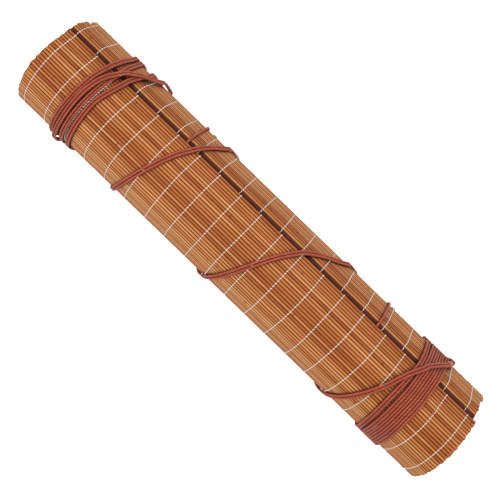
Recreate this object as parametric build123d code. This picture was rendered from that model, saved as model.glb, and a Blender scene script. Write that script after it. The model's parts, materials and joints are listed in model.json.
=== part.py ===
"""Slatted bamboo roll-up blind, rolled up and tied round with its own pull cord.

Sections are drawn in the plane across the roll: u points from the roll's centre
towards the head rail, w points up, and X runs along the roll. The whole part is
moved at the end, so that its origin is at the middle of its base.
"""
from build123d import *
import math
import os

os.makedirs("parts", exist_ok=True)

# Blind as a whole
BLIND_WIDTH = 597.0
MAT_SHIFT = -1.5            # the mat slid a little to one side as it was rolled
VALANCE_SHIFT = 1.5
MAT_TURNS = 9

# Bamboo slat
SLAT_WIDTH = 3.3
SLAT_THICKNESS = 1.1
SLAT_PITCH = 3.6
SLAT_CHAMFER = 0.4
SLAT_BEVEL = 0.3
BEND_PITCH = 3.8            # slats stand further apart at the sharp bend over the rail

# Cotton rows that hold the slats together
THREAD_WIDTH = 0.8
THREAD_THICKNESS = 0.25
THREAD_LIFT = 0.15
THREAD_ROWS = 20
THREAD_MARGIN = 11.5        # from the end of the slats to the first row
MAT_THREAD_SHIFT = -4.0

# Roll
MAT_TURN_RADIUS = 45.5      # outer face of the mat's outermost turn
LAYER_PITCH = 2.5
BASE_HALF_FLAT = 8.0        # the roll lies a little flattened on its base
BULGE_RADIUS = 18.0         # the slack mat bulges out between the roll and the rail
BULGE_U = 38.5
BULGE_W = 11.5
RAIL_DROP = 6.34            # from the roll's centre down to the rail's upper rounding
RAIL_SLATS = 1              # slats down the rail's face, past the bend
CORNER_SLATS = 3            # slats that lie over the rail's corner, slid along it
CORNER_SHIFT = 3.5
VALANCE_OVERHANG = 21.9     # free edge of the valance, past the leaving line

# Head rail and bottom rail
RAIL_HEIGHT = 28.0
RAIL_THICKNESS = 8.4
RAIL_STANDOFF = 17.2        # from the mat's outermost turn to the rail's middle
RAIL_CLEARANCE = 0.35
ROUND_SHARE = 0.98          # rounding of the rail's edges, as a share of a full round
BOTTOM_RAIL_WIDTH = 20.0
BOTTOM_RAIL_THICKNESS = 7.0
BOTTOM_RAIL_CLEARANCE = 0.3
BOTTOM_RAIL_EDGE = 3.0

# Cord
CORD_DIAMETER = 2.8
CORD_CLEARANCE = 0.3        # between the cord and the slats beside it
PAIR_SPACING = 3.1
CROSSING_LIFT = 3.6
THREAD_ROOM = 0.6           # a cord on the outside lies over the cotton rows
BASE_CUT = 0.5              # the cord is pressed flat where the roll stands on it
EXIT_RADIUS = 3.2
HOLE_CLEARANCE = 0.35
SLOPE_STEP = 1.1            # steps over which the winding's slope and heading are taken
HEADING_STEP = 0.03
STRAIGHT = 1e-4             # two headings closer than this make a straight cord

# Lift cords: distance from the nearer end of the blind, height of their rail hole over
# the rail's lower rounding, and their knots
LIFT_INSET = (144.5, 172.5)
LEVEL_RISE = (11.44, 5.44)
KNOT_RISE = 1.94
KNOT_SHIFT = 10.0
KNOT_RADIUS = 2.9
KNOT_RUN = 5.0
KNOT_SHARE = 0.7            # height of the knot's middle over the rail, as a share
OUTLET_SHIFT = 1.0          # from the first pass of the winding to the outlet
OUTLET_STRAND_SPACING = 3.3
OUTLET_HOLE_SPACING = 2.2
OUTLET_HOLE_RADIUS = 2.7

# Pulleys
SHEAVE_RADIUS = 6.0
SHEAVE_CORD_RADIUS = 4.5
SHEAVE_THICKNESS = 4.4
SHEAVE_STANDOFF = 12.7      # from the rail's middle to the sheaves' axes
GROOVE_CLEARANCE = 0.2
PIN_RADIUS = 1.5
PIN_PLAY = 0.05
PIN_HEAD = 0.8
PLATE = 0.9
PLATE_GAP = 0.3
BRACKET_WIDTH = 4.6
BRACKET_NOSE = 3.0
EAR_LENGTH = 9.0
SCREW_RADIUS = 1.2
SCREW_HEAD_RADIUS = 2.2
SCREW_HEAD_HEIGHT = 1.2
SCREW_DEPTH = 6.0
SCREW_PLAY = 0.02

# Tacks that fasten the mat and the valance
TACK_RADIUS = 0.5
TACK_HEAD_RADIUS = 1.4
TACK_HEAD_HEIGHT = 0.5
TACK_DEPTH = 5.0
TACK_PLAY = 0.03
TACK_STEP = 3               # one tack to so many cotton rows

# Steel hangers
HANGER_INSET = 13.5         # from the end of the rail to the hanger's middle
HANGER_WIDTH = 14.0
HANGER_THICKNESS = 1.5
HANGER_TOP_RISE = 10.44     # heights over the rail's lower rounding
HANGER_BOTTOM_RISE = -16.06
HANGER_HOLE_RISE = -10.06
HANGER_SCREW_RISES = (7.44, 1.94)
HANGER_HOLE_RADIUS = 3.0
HANGER_CORNER = 3.0
HANGER_SCREW_SHIFT = 3.0

# Cord acorn, in the wedge between rail, roll and floor
END_REACH = 6.0
ACORN_RADIUS = 4.4
ACORN_TOP_RADIUS = 3.9
ACORN_LENGTH = 15.0
ACORN_TIP_RADIUS = 1.5
BELLY_SHARE = 0.4

# Places of the doubled cord along X, pass by pass, at nine stations of each turn:
# base, lower left, left side, upper left, top, upper right, valance edge, rail corner
# and underside.
WINDING_X = (
    (-203.5, -212.0, -221.0, -220.5, -221.3, -217.9, -214.7, -209.5, -209.5),
    (-210.5, -219.5, -230.0, -229.5, -229.0, -228.7, -226.7, -228.0, -228.0),
    (-228.5, -234.5, -245.0, -243.8, -242.5, -242.0, -238.9, -236.0, -236.0),
    (-236.3, -237.7, -238.0, -237.0, -236.0, -233.3, -224.4, -194.0, -178.0),
    (-172.0, -163.0, -154.6, -144.5, -131.5, -122.9, -112.9, -91.0, -58.0),
    (-48.0, -34.0, -20.0, -2.5, 16.5, 29.5, 44.6, 93.0, 128.0),
    (136.0, 149.0, 163.0, 181.0, 199.0, 208.7, 220.4, 249.0, 248.8),
    (248.6, 247.8, 246.5, 242.5, 239.8, 239.9, 239.6, 242.0, 242.2),
    (242.0, 241.2, 240.2, 236.1, 233.5, 233.6, 233.3, 235.4, 235.6),
    (235.4, 234.7, 233.9, 229.7, 227.2, 227.3, 227.0, 228.8, 229.0),
    (228.9, 228.3, 227.5, 223.4, 220.9, 221.0, 220.7, 222.2, 222.4),
    (222.2, 221.6, 220.9, 215.0, 212.0, 213.0, 214.2, 214.5, 214.5),
)
# How far each pass is lifted over the others there, as shares of the crossing lift
LIFT_SHARES = {
    3: (0.0, 1.0, 1.0, 0.1, 0.8, 1.0, 1.0, 0.6, 0.0),
    6: (0.0, 0.0, 0.0, 0.0, 0.5, 0.87, 1.0, 0.7, 0.0),
}

# The bunches at both ends keep their distance from the ends of the blind, and the
# passes between them spread with its width
WINDING_INSET = 49.5        # from the end of the slats to the outermost pass
WINDING_BUNCH = 200.0       # passes further out than this belong to a bunch

# Derived sizes
THREAD_SPAN = BLIND_WIDTH - 2 * THREAD_MARGIN
HANGER_X = BLIND_WIDTH / 2 - HANGER_INSET
LIFT_X = (BLIND_WIDTH / 2 - LIFT_INSET[0], LIFT_INSET[1] - BLIND_WIDTH / 2)
WINDING_HALF = max(abs(x) for row in WINDING_X for x in row) + WINDING_INSET
RAIL_CENTRE_U = MAT_TURN_RADIUS + RAIL_STANDOFF
SHEAVE_U = RAIL_CENTRE_U - SHEAVE_STANDOFF
VALANCE_RADIUS = MAT_TURN_RADIUS + CORD_DIAMETER + 2 * CORD_CLEARANCE + SLAT_THICKNESS
LIFT_OFFSET = CORD_CLEARANCE + CORD_DIAMETER / 2
OUTSIDE_OFFSET = THREAD_ROOM + CORD_DIAMETER / 2
ROUND_RADIUS = RAIL_THICKNESS / 2
BEND_RADIUS = ROUND_RADIUS + RAIL_CLEARANCE + SLAT_THICKNESS
LOW_LEFT = (180 + 270) / 2      # middles of the roll's quarters on the left
HIGH_LEFT = (180 + 90) / 2
RAIL_ROUND_W = -RAIL_DROP
RAIL_LOW_W = RAIL_ROUND_W - (RAIL_HEIGHT - RAIL_THICKNESS)
LEVEL = tuple(RAIL_LOW_W + rise for rise in LEVEL_RISE)
KNOT_LEVEL = RAIL_LOW_W + KNOT_RISE
HANGER_TOP = RAIL_LOW_W + HANGER_TOP_RISE
HANGER_BOTTOM = RAIL_LOW_W + HANGER_BOTTOM_RISE
HANGER_HOLE_LEVEL = RAIL_LOW_W + HANGER_HOLE_RISE
HANGER_SCREW_LEVELS = tuple(RAIL_LOW_W + rise for rise in HANGER_SCREW_RISES)
RAIL_INNER_U = RAIL_CENTRE_U - ROUND_RADIUS
RAIL_OUTER_U = RAIL_CENTRE_U + ROUND_RADIUS
HOLE_RADIUS = CORD_DIAMETER / 2 + HOLE_CLEARANCE


def spread(x):
    """Place of the winding table's x on a blind of this width."""
    share = max(-1, min(1, x / WINDING_BUNCH))
    return x + share * (BLIND_WIDTH / 2 - WINDING_HALF)


OUTLET_X = spread(WINDING_X[0][0]) + OUTLET_SHIFT


def arc(centre, radius, start, end):
    """Arc of the section, from angle start to angle end in degrees."""
    return ("arc", centre, radius, math.radians(start), math.radians(end))


def line(start, end):
    return ("line", start, end)


def length_of(piece):
    if piece[0] == "line":
        return math.dist(piece[1], piece[2])
    return piece[2] * abs(piece[4] - piece[3])


def on_piece(piece, distance):
    """Point and heading at a distance along one piece."""
    if piece[0] == "line":
        (u0, w0), (u1, w1) = piece[1], piece[2]
        full = length_of(piece)
        heading = ((u1 - u0) / full, (w1 - w0) / full)
        return (u0 + heading[0] * distance, w0 + heading[1] * distance), heading
    (cu, cw), radius, start, end = piece[1:]
    turn = 1 if end > start else -1
    angle = start + turn * distance / radius
    point = (cu + radius * math.cos(angle), cw + radius * math.sin(angle))
    return point, (-turn * math.sin(angle), turn * math.cos(angle))


def along(path, distance):
    """Point and heading at a distance along a path of joined pieces."""
    for piece in path[:-1]:
        full = length_of(piece)
        if distance <= full:
            return on_piece(piece, distance)
        distance -= full
    return on_piece(path[-1], distance)


def shifted(path, offset, side):
    """The same path, moved sideways to one side of its heading."""
    moved = []
    for piece in path:
        if piece[0] == "line":
            _, (hu, hw) = on_piece(piece, 0)
            du, dw = side * hw * offset, -side * hu * offset
            (u0, w0), (u1, w1) = piece[1], piece[2]
            moved.append(line((u0 + du, w0 + dw), (u1 + du, w1 + dw)))
        else:
            turn = 1 if piece[4] > piece[3] else -1
            moved.append(("arc", piece[1], piece[2] + side * turn * offset, piece[3], piece[4]))
    return moved


def clipped(path, start, end):
    """The stretch of a path between two distances."""
    kept = []
    done = 0
    for piece in path:
        full = length_of(piece)
        a, b = max(start - done, 0), min(end - done, full)
        done += full
        if b <= a:
            continue
        if piece[0] == "line":
            kept.append(line(on_piece(piece, a)[0], on_piece(piece, b)[0]))
        else:
            turn = 1 if piece[4] > piece[3] else -1
            first = piece[3] + turn * a / piece[2]
            last = piece[3] + turn * b / piece[2]
            kept.append(("arc", piece[1], piece[2], first, last))
    return kept


def total(path):
    return sum(length_of(piece) for piece in path)


def tangent_angle(centre_a, radius_a, centre_b, radius_b, side):
    """Direction of the normal of the outer tangent line of two circles."""
    du, dw = centre_b[0] - centre_a[0], centre_b[1] - centre_a[1]
    across = math.acos((radius_a - radius_b) / math.hypot(du, dw))
    return math.atan2(dw, du) + side * across


def on_circle(centre, radius, angle):
    return (centre[0] + radius * math.cos(angle), centre[1] + radius * math.sin(angle))


# Where the mat leaves the roll, and where it comes down on the rail
rail_round = (RAIL_CENTRE_U, RAIL_ROUND_W)
rail_low = (RAIL_CENTRE_U, RAIL_LOW_W)
bulge = (BULGE_U, BULGE_W)
LEAVE = tangent_angle((0, 0), MAT_TURN_RADIUS, bulge, BULGE_RADIUS, 1)
LAND = tangent_angle(bulge, BULGE_RADIUS, rail_round, BEND_RADIUS, 1)
LEAVE_ANGLE, LAND_ANGLE = math.degrees(LEAVE), math.degrees(LAND)


def slope_down(offset):
    """Front of the mat, from the rail's corner up over the bulge to the roll."""
    corner, shoulder, reach = BEND_RADIUS + offset, BULGE_RADIUS + offset, MAT_TURN_RADIUS + offset
    return [
        arc(rail_round, corner, 0, LAND_ANGLE),
        line(on_circle(rail_round, corner, LAND), on_circle(bulge, shoulder, LAND)),
        arc(bulge, shoulder, LAND_ANGLE, LEAVE_ANGLE),
        line(on_circle(bulge, shoulder, LEAVE), on_circle((0, 0), reach, LEAVE)),
    ]


# Path of the mat's outer face, from the rail inwards
mat_outer_u = RAIL_CENTRE_U + BEND_RADIUS
rail_run = RAIL_SLATS * SLAT_PITCH
mat_path = [
    line((mat_outer_u, RAIL_ROUND_W - rail_run), (mat_outer_u, RAIL_ROUND_W)),
    *slope_down(0),
    arc((0, 0), MAT_TURN_RADIUS, LEAVE_ANGLE, 180),
]
roll_start = total(mat_path[:-1])
turn_ends = [roll_start]
radius = MAT_TURN_RADIUS
for turn in range(MAT_TURNS):
    half = radius - LAYER_PITCH / 2
    low = half - BASE_HALF_FLAT
    left = (-LAYER_PITCH / 2 - BASE_HALF_FLAT, 0)
    right = (-LAYER_PITCH / 2 + BASE_HALF_FLAT, 0)
    mat_path.append(arc(left, low, 180, 270))
    mat_path.append(line((left[0], -low), (right[0], -low)))
    if turn == MAT_TURNS - 1:
        break
    mat_path.append(arc(right, low, 270, 360))
    radius -= LAYER_PITCH
    turn_ends.append(total(mat_path))
    mat_path.append(arc((0, 0), radius, 0, 180))
mat_length = total(mat_path)
turn_ends.append(mat_length)
print(f"mat: {mat_length:.0f} mm long")

# Path of the valance's outer face, from the rail's lower edge round under the roll
roll_left = (-BASE_HALF_FLAT, 0)
roll_right = (BASE_HALF_FLAT, 0)
low_radius = VALANCE_RADIUS - BASE_HALF_FLAT
slope = tangent_angle(roll_right, low_radius, rail_low, BEND_RADIUS, -1)
edge_start = on_circle(rail_low, BEND_RADIUS, slope)
edge_run = SLAT_WIDTH / 2
edge_start = (edge_start[0] - edge_run * math.sin(slope), edge_start[1] + edge_run * math.cos(slope))
roll_top = on_circle((0, 0), VALANCE_RADIUS, LEAVE)
free_edge = (
    roll_top[0] + VALANCE_OVERHANG * math.sin(LEAVE),
    roll_top[1] - VALANCE_OVERHANG * math.cos(LEAVE),
)
valance_path = [
    line(edge_start, on_circle(roll_right, low_radius, slope)),
    arc(roll_right, low_radius, math.degrees(slope), -90),
    line((BASE_HALF_FLAT, -low_radius), (-BASE_HALF_FLAT, -low_radius)),
    arc(roll_left, low_radius, 270, 180),
    arc((0, 0), VALANCE_RADIUS, 180, LEAVE_ANGLE),
    line(roll_top, free_edge),
]


def prism(points, start_x, length):
    """Solid along X from points (u, w) of its section."""
    corners = [Vector(start_x, u, w) for u, w in points]
    return Solid.extrude(Face(Wire.make_polygon(corners)), Vector(length, 0, 0))


def slat(path, distance, side, start_x):
    """One bamboo slat, its rounded face on the path and its flat face inside."""
    (u, w), (hu, hw) = along(path, distance)
    nu, nw = side * hw, -side * hu
    half = SLAT_WIDTH / 2
    profile = (
        (-half, -SLAT_THICKNESS),
        (half, -SLAT_THICKNESS),
        (half, -SLAT_BEVEL),
        (half - SLAT_CHAMFER, 0),
        (SLAT_CHAMFER - half, 0),
        (-half, -SLAT_BEVEL),
    )
    points = [(u + a * hu + b * nu, w + a * hw + b * nw) for a, b in profile]
    return prism(points, start_x, BLIND_WIDTH)


def band(path, side, start_x, width, inner, outer):
    """Flat band that follows a path, between two heights over it."""
    edges = []
    near, far = shifted(path, inner, side), shifted(path, outer, side)
    for piece in near + far:
        a = on_piece(piece, 0)[0]
        b = on_piece(piece, length_of(piece))[0]
        pa, pb = Vector(start_x, *a), Vector(start_x, *b)
        if piece[0] == "line":
            edges.append(Edge.make_line(pa, pb))
        else:
            middle = Vector(start_x, *on_piece(piece, length_of(piece) / 2)[0])
            edges.append(Edge.make_three_point_arc(pa, middle, pb))
    ends = [
        (on_piece(near[0], 0)[0], on_piece(far[0], 0)[0]),
        (on_piece(near[-1], length_of(near[-1]))[0], on_piece(far[-1], length_of(far[-1]))[0]),
    ]
    for a, b in ends:
        edges.append(Edge.make_line(Vector(start_x, *a), Vector(start_x, *b)))
    outline = Wire.combine(edges)[0]
    return Solid.extrude(Face(outline), Vector(width, 0, 0))


nodes = {}

# Mat slats: down the rail, over the bend, up the front and round the roll
mat_start_x = MAT_SHIFT - BLIND_WIDTH / 2
bend_middle = length_of(mat_path[0]) + length_of(mat_path[1]) / 2
stations = [bend_middle - BEND_PITCH - k * SLAT_PITCH for k in range(RAIL_SLATS)][::-1]
stations.append(bend_middle)
place = bend_middle + BEND_PITCH
while place < mat_length - SLAT_WIDTH / 2:
    stations.append(place)
    place += SLAT_PITCH
rail_count = RAIL_SLATS + 1 + CORNER_SLATS
rail_group = stations[:rail_count]
front_group = [s for s in stations[rail_count:] if s < roll_start]
corner_start_x = mat_start_x + CORNER_SHIFT
nodes["mat_slats_rail"] = [slat(mat_path, s, 1, corner_start_x) for s in rail_group]
nodes["mat_slats_front"] = [slat(mat_path, s, 1, mat_start_x) for s in front_group]
for number in range(len(turn_ends) - 1):
    group = [s for s in stations[rail_count:] if turn_ends[number] <= s < turn_ends[number + 1]]
    if group:
        solids = [slat(mat_path, s, 1, mat_start_x) for s in group]
        nodes[f"mat_slats_turn_{number + 1}"] = solids

# Valance slats, from the rail's lower edge to the free edge over the incline
valance_start_x = VALANCE_SHIFT - BLIND_WIDTH / 2
valance_length = total(valance_path)
valance_count = int((valance_length - SLAT_WIDTH) / SLAT_PITCH) + 1
valance_stations = [SLAT_WIDTH / 2 + k * SLAT_PITCH for k in range(valance_count)]
nodes["valance_slats"] = [slat(valance_path, s, -1, valance_start_x) for s in valance_stations]

# Cotton rows on the outer faces
row_pitch = THREAD_SPAN / (THREAD_ROWS - 1)
rows = [-THREAD_SPAN / 2 + k * row_pitch - THREAD_WIDTH / 2 for k in range(THREAD_ROWS)]
thread_top = THREAD_LIFT + THREAD_THICKNESS
mat_thread_path = clipped(mat_path, 0, stations[-1] + SLAT_WIDTH / 2)
valance_thread_path = clipped(valance_path, 0, valance_stations[-1] + SLAT_WIDTH / 2)
mat_row = band(mat_thread_path, 1, 0, THREAD_WIDTH, THREAD_LIFT, thread_top)
valance_row = band(valance_thread_path, -1, 0, THREAD_WIDTH, THREAD_LIFT, thread_top)
nodes["mat_threads"] = [Pos(x + MAT_THREAD_SHIFT, 0, 0) * mat_row for x in rows]
nodes["valance_threads"] = [Pos(x, 0, 0) * valance_row for x in rows]


def lath(centre_u, centre_w, width, height, edge, length):
    """Wooden lath along X with rounded long edges."""
    block = Pos(0, centre_u, centre_w) * Box(length, width, height)
    long_edges = block.edges().filter_by(Axis.X)
    return fillet(long_edges, edge)


def bar(start, end, radius):
    """Round bar between two points."""
    a, b = Vector(*start), Vector(*end)
    return Plane(a, z_dir=b - a) * Cylinder(
        radius, (b - a).length, align=(Align.CENTER, Align.CENTER, Align.MIN)
    )


# Head rail and bottom rail
rail_middle_w = (RAIL_ROUND_W + RAIL_LOW_W) / 2
head_rail = lath(
    RAIL_CENTRE_U, rail_middle_w, RAIL_THICKNESS, RAIL_HEIGHT, ROUND_RADIUS * ROUND_SHARE, BLIND_WIDTH
)
bottom_rail_w = -low + SLAT_THICKNESS + BOTTOM_RAIL_CLEARANCE + BOTTOM_RAIL_THICKNESS / 2
bottom_rail = Pos(MAT_SHIFT, 0, 0) * lath(
    -LAYER_PITCH / 2,
    bottom_rail_w,
    BOTTOM_RAIL_WIDTH,
    BOTTOM_RAIL_THICKNESS,
    BOTTOM_RAIL_EDGE,
    BLIND_WIDTH,
)

# Tacks through the first mat slat and the first valance slat, into the rail
tack_rows = rows[:-1][::TACK_STEP]
tack_xs = [x + (row_pitch + THREAD_WIDTH) / 2 for x in tack_rows]


def tack(point, inward, shank):
    """Round-headed tack, its head on the point and its shank going inward."""
    px, pu, pw = point
    du, dw = inward
    tip = (px, pu + du * shank, pw + dw * shank)
    top = (px, pu - du * TACK_HEAD_HEIGHT, pw - dw * TACK_HEAD_HEIGHT)
    return bar(point, tip, TACK_RADIUS) + bar(top, point, TACK_HEAD_RADIUS)


def tack_hole(point, inward, shank):
    px, pu, pw = point
    du, dw = inward
    depth = shank + TACK_PLAY
    start = (px, pu - du * SLAT_THICKNESS, pw - dw * SLAT_THICKNESS)
    tip = (px, pu + du * depth, pw + dw * depth)
    return bar(start, tip, TACK_RADIUS + TACK_PLAY)


def fasten(name, path, distance, side, group, shift):
    """Tacks through the slat at a distance along the path, and their holes."""
    (u, w), (hu, hw) = along(path, distance)
    inward = (-side * hw, side * hu)
    shank = SLAT_THICKNESS + RAIL_CLEARANCE + TACK_DEPTH
    places = [(x + shift, u, w) for x in tack_xs]
    nodes[name] = [tack(place, inward, shank) for place in places]
    holes = [tack_hole(place, inward, shank) for place in places]
    nodes[group][0] = nodes[group][0] - holes
    return holes


rail_cuts = fasten("mat_tacks", mat_path, stations[0], 1, "mat_slats_rail", MAT_THREAD_SHIFT)
rail_cuts += fasten("valance_tacks", valance_path, valance_stations[0], -1, "valance_slats", 0)

# Cord centre lines: every node is a point with the direction of the cord there


def space(x, point):
    return Vector(x, point[0], point[1])


def heading_at(x_rate, heading):
    return Vector(x_rate, heading[0], heading[1]).normalized()


def biarc(start, start_dir, end, end_dir):
    """Two tangent arcs, or one straight line, between two nodes."""
    v = end - start
    if start_dir.cross(v).length < STRAIGHT and end_dir.cross(v).length < STRAIGHT:
        return [Edge.make_line(start, end)]
    ahead = v.dot(start_dir + end_dir)
    turn = 1 - start_dir.dot(end_dir)
    reach = v.dot(v) / (ahead + math.sqrt(ahead * ahead + 2 * turn * v.dot(v)))
    a = start + start_dir * reach
    b = end - end_dir * reach
    middle = (a + b) / 2
    middle_dir = (b - a).normalized()
    return [
        Edge.make_tangent_arc(start, start_dir, middle),
        Edge.make_tangent_arc(middle, middle_dir, end),
    ]


def centre_line(cord_nodes):
    edges = []
    for (p, d), (q, e) in zip(cord_nodes, cord_nodes[1:]):
        edges += biarc(p, d, q, e)
    return edges


def tube(edges):
    path = Wire(edges)
    start = edges[0].position_at(0)
    section = Plane(start, z_dir=edges[0].tangent_at(0)) * Circle(CORD_DIAMETER / 2)
    return sweep(section, path=path)


def lift_loop(x_knot, x_rail, level):
    """Nodes from the knot behind the rail, round the roll, to the rail hole."""
    reach = MAT_TURN_RADIUS + LIFT_OFFSET
    low = reach - BASE_HALF_FLAT
    knot_end = (RAIL_INNER_U - KNOT_RUN, KNOT_LEVEL)
    du, dw = knot_end[0] - BASE_HALF_FLAT, knot_end[1]
    touch = math.atan2(dw, du) - math.acos(low / math.hypot(du, dw))
    touch_point = on_circle(roll_right, low, touch)
    turn_dir = (math.sin(touch), -math.cos(touch))
    bend = math.acos(-turn_dir[0])
    cut = EXIT_RADIUS * 2 * math.tan(bend / 2)
    after = (knot_end[0] + cut * turn_dir[0], knot_end[1] + cut * turn_dir[1])
    corner = BEND_RADIUS + LIFT_OFFSET
    face_u = RAIL_CENTRE_U + corner
    round_path = [
        line(after, touch_point),
        arc(roll_right, low, math.degrees(touch), -90),
        line((BASE_HALF_FLAT, -low), (-BASE_HALF_FLAT, -low)),
        arc(roll_left, low, 270, LOW_LEFT),
        arc(roll_left, low, LOW_LEFT, 180),
        arc((0, 0), reach, 180, HIGH_LEFT),
        arc((0, 0), reach, HIGH_LEFT, 90),
        arc((0, 0), reach, 90, LEAVE_ANGLE),
    ]
    drift = total(round_path)
    loop = [
        (space(x_knot, (RAIL_OUTER_U, KNOT_LEVEL)), Vector(0, -1, 0)),
        (space(x_knot, (knot_end[0] + cut, KNOT_LEVEL)), Vector(0, -1, 0)),
    ]
    gone = 0
    for piece in round_path:
        share = gone / drift
        eased = share * share * (3 - 2 * share)
        rate = (x_rail - x_knot) * 6 * share * (1 - share) / drift
        point, heading = on_piece(piece, 0)
        loop.append((space(x_knot + (x_rail - x_knot) * eased, point), heading_at(rate, heading)))
        gone += length_of(piece)
    for piece in slope_down(LIFT_OFFSET)[::-1]:
        point, (hu, hw) = on_piece(piece, length_of(piece))
        loop.append((space(x_rail, point), Vector(0, -hu, -hw)))
    loop.append((space(x_rail, (face_u, RAIL_ROUND_W)), Vector(0, 0, -1)))
    loop.append((space(x_rail, (face_u, level + EXIT_RADIUS)), Vector(0, 0, -1)))
    loop.append((space(x_rail, (face_u - EXIT_RADIUS, level)), Vector(0, -1, 0)))
    return loop


# Hull that the pull cord winds round: its centre line over valance, rail and base
hull_low = low_radius + OUTSIDE_OFFSET
hull_top = VALANCE_RADIUS + OUTSIDE_OFFSET
hull_bend = BEND_RADIUS + OUTSIDE_OFFSET
edge_fillet = SLAT_THICKNESS + OUTSIDE_OFFSET
edge_centre = on_circle(free_edge, -SLAT_THICKNESS, LEAVE)
hull_bulge = BULGE_RADIUS + OUTSIDE_OFFSET
fall = tangent_angle(edge_centre, edge_fillet, bulge, hull_bulge, 1)
lower = tangent_angle(roll_right, hull_low, rail_low, hull_bend, -1)
rail_face_u = RAIL_CENTRE_U + hull_bend
hull = {
    "left": arc((0, 0), hull_top, 180, HIGH_LEFT),
    "upper_left": arc((0, 0), hull_top, HIGH_LEFT, 90),
    "top": arc((0, 0), hull_top, 90, LEAVE_ANGLE),
    "upper_right": line(on_circle((0, 0), hull_top, LEAVE), on_circle(edge_centre, edge_fillet, LEAVE)),
    "edge": arc(edge_centre, edge_fillet, LEAVE_ANGLE, math.degrees(fall)),
    "step": line(on_circle(edge_centre, edge_fillet, fall), on_circle(bulge, hull_bulge, fall)),
    "bulge": arc(bulge, hull_bulge, math.degrees(fall), LAND_ANGLE),
    "fall": line(on_circle(bulge, hull_bulge, LAND), on_circle(rail_round, hull_bend, LAND)),
    "corner": arc(rail_round, hull_bend, LAND_ANGLE, 0),
    "face": line((rail_face_u, RAIL_ROUND_W), (rail_face_u, RAIL_LOW_W)),
    "low_corner": arc(rail_low, hull_bend, 0, math.degrees(lower)),
    "under": line(on_circle(rail_low, hull_bend, lower), on_circle(roll_right, hull_low, lower)),
    "low_right": arc(roll_right, hull_low, math.degrees(lower), -90),
    "base": line((BASE_HALF_FLAT, -hull_low), (-BASE_HALF_FLAT, -hull_low)),
    "low_left": arc(roll_left, hull_low, 270, LOW_LEFT),
    "side_left": arc(roll_left, hull_low, LOW_LEFT, 180),
}
hull_names = list(hull)
hull_path = [hull[name] for name in hull_names]
hull_length = total(hull_path)
starts = {}
gone = 0
for name in hull_names:
    starts[name] = gone
    gone += length_of(hull[name])
hull_stations = [starts["low_left"] - hull_length, starts["side_left"] - hull_length]
for name in ("left", "upper_left", "top", "upper_right", "edge", "face", "low_right"):
    hull_stations.append(starts[name])


def hermite(places, values, place):
    """Smooth curve through values at places, level at a turning value."""
    last = len(places) - 1
    index = 0
    while index < last - 1 and place > places[index + 1]:
        index += 1
    rates = []
    for k in (index, index + 1):
        before, after = max(k - 1, 0), min(k + 1, last)
        left_step = values[k] - values[before]
        right_step = values[after] - values[k]
        if before == k or after == k or left_step * right_step <= 0:
            rates.append(0)
            continue
        a = left_step / (places[k] - places[before])
        b = right_step / (places[after] - places[k])
        rates.append(2 * a * b / (a + b))
    width = places[index + 1] - places[index]
    t = (place - places[index]) / width
    rise = values[index + 1] - values[index]
    cubic = t * t * (3 - 2 * t)
    lead = t * (1 - t) * (1 - t) * rates[0] * width
    trail = t * t * (t - 1) * rates[1] * width
    return values[index] + rise * cubic + lead + trail


# Stations of the whole winding, as distances from the first pass's left side
winding_places = [starts["face"] - hull_length, starts["low_right"] - hull_length]
winding_xs = [OUTLET_X, OUTLET_X]
winding_lifts = [0, 0]
for number, row in enumerate(WINDING_X):
    shares = LIFT_SHARES.get(number, (0,) * len(row))
    for station, x, share in zip(hull_stations, row, shares):
        winding_places.append(number * hull_length + station)
        winding_xs.append(spread(x))
        winding_lifts.append(share * CROSSING_LIFT)
winding_start = starts["low_corner"] - hull_length
winding_end = (len(WINDING_X) - 1) * hull_length + starts["under"] + END_REACH
winding_places[-1] = winding_end + SLAT_PITCH
winding_lifts[-1] = ACORN_RADIUS + CORD_CLEARANCE - OUTSIDE_OFFSET


def winding_point(place, strand):
    """Point of one strand of the winding, at a distance along its hull."""
    turn_place = place % hull_length
    (u, w), (hu, hw) = along(hull_path, turn_place)
    lift = hermite(winding_places, winding_lifts, place)
    x = hermite(winding_places, winding_xs, place)
    rise = hermite(winding_places, winding_xs, place + SLOPE_STEP)
    rise -= hermite(winding_places, winding_xs, place - SLOPE_STEP)
    slant = math.hypot(1, rise / (2 * SLOPE_STEP))
    x += strand * PAIR_SPACING / 2 * slant
    return Vector(x, u - hw * lift, w + hu * lift)


def winding_nodes(strand):
    """Nodes of one strand of the winding, at the ends of the hull's pieces."""
    places = [winding_start]
    for number in range(-1, len(WINDING_X)):
        for name in hull_names:
            place = number * hull_length + starts[name]
            if winding_start < place < winding_end:
                places.append(place)
            if name in ("fall", "face", "under"):
                place += length_of(hull[name]) / 2
                if winding_start < place < winding_end:
                    places.append(place)
    places.append(winding_end)
    strand_nodes = []
    for place in places:
        ahead = winding_point(place + HEADING_STEP, strand)
        behind = winding_point(place - HEADING_STEP, strand)
        strand_nodes.append((winding_point(place, strand), (ahead - behind).normalized()))
    return strand_nodes


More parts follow.
